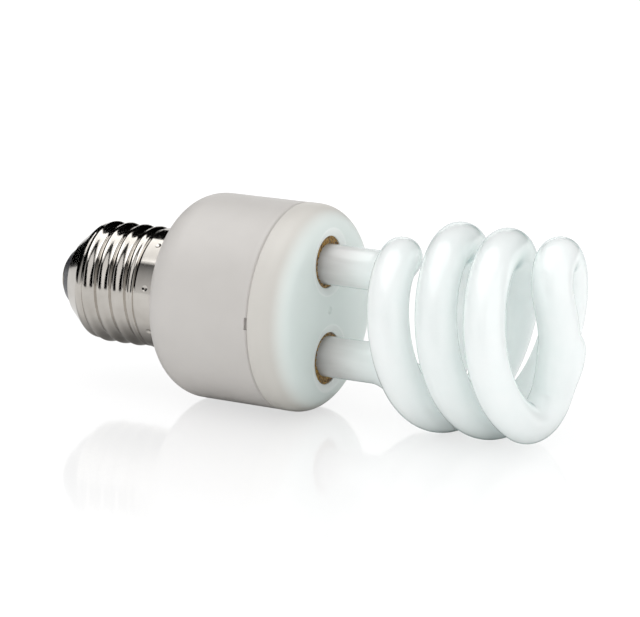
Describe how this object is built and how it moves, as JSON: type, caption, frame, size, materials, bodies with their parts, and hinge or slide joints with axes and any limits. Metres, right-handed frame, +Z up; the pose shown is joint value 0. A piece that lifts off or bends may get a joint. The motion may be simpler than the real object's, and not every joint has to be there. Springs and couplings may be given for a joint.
{
  "type": "energy saving bulb",
  "caption": "Compact fluorescent bulb lying on its side: white double-spiral glass tube cemented into a round plastic ballast housing with a nickel screw cap.",
  "frame": {"origin": "on the floor under the middle of the lying lamp", "axes": "+X along the lamp's axis from the screw cap to the tube's tip, +Z up with the tube's legs one above the other, +Y away from the seen side"},
  "size_m": [0.1222, 0.0444, 0.0444],
  "materials": {
    "coated_glass": "glossy glass over a white coating",
    "cement": "granular matte",
    "cover_plastic": "satin moulded",
    "case_plastic": "satin moulded",
    "nickel": "bright nickel plate",
    "black_glass": "glossy",
    "contact_brass": "satin",
    "solder": "dull",
    "board_laminate": "matte",
    "ferrite": "matte sintered",
    "bobbin_plastic": "matte moulded",
    "enamelled_copper": "glossy enamel",
    "capacitor_sleeve": "shrunk sleeve",
    "film_coating": "dipped resin",
    "black_epoxy": "moulded epoxy",
    "diac_glass": "glossy",
    "resistor_lacquer": "lacquered",
    "fibre_sleeve": "woven fibre",
    "wire_insulation": "extruded",
    "tinned_metal": "tinned"
  },
  "bodies": {
    "root": {"glass_tube": "coated_glass", "tube_cement": "cement", "tube_cover": "cover_plastic", "ballast_case": "case_plastic", "screw_shell": "nickel", "cap_insulator": "black_glass", "centre_contact": "contact_brass", "contact_solder": "solder", "circuit_board": "board_laminate", "choke_core": "ferrite", "choke_bobbin": "bobbin_plastic", "choke_winding": "enamelled_copper", "toroid_core": "ferrite", "toroid_windings": "enamelled_copper", "smoothing_capacitor": "capacitor_sleeve", "resonant_capacitor": "film_coating", "blocking_capacitor": "film_coating", "starting_capacitor": "film_coating", "switching_transistors": "black_epoxy", "rectifier_diodes": "black_epoxy", "trigger_diac": "diac_glass", "base_resistors": "resistor_lacquer", "input_inductor": "ferrite", "fuse_resistor": "resistor_lacquer", "fuse_sleeve": "fibre_sleeve", "shell_wire": "wire_insulation", "wrap_pins": "tinned_metal", "tube_leads": "tinned_metal"}
  },
  "joints": []
}
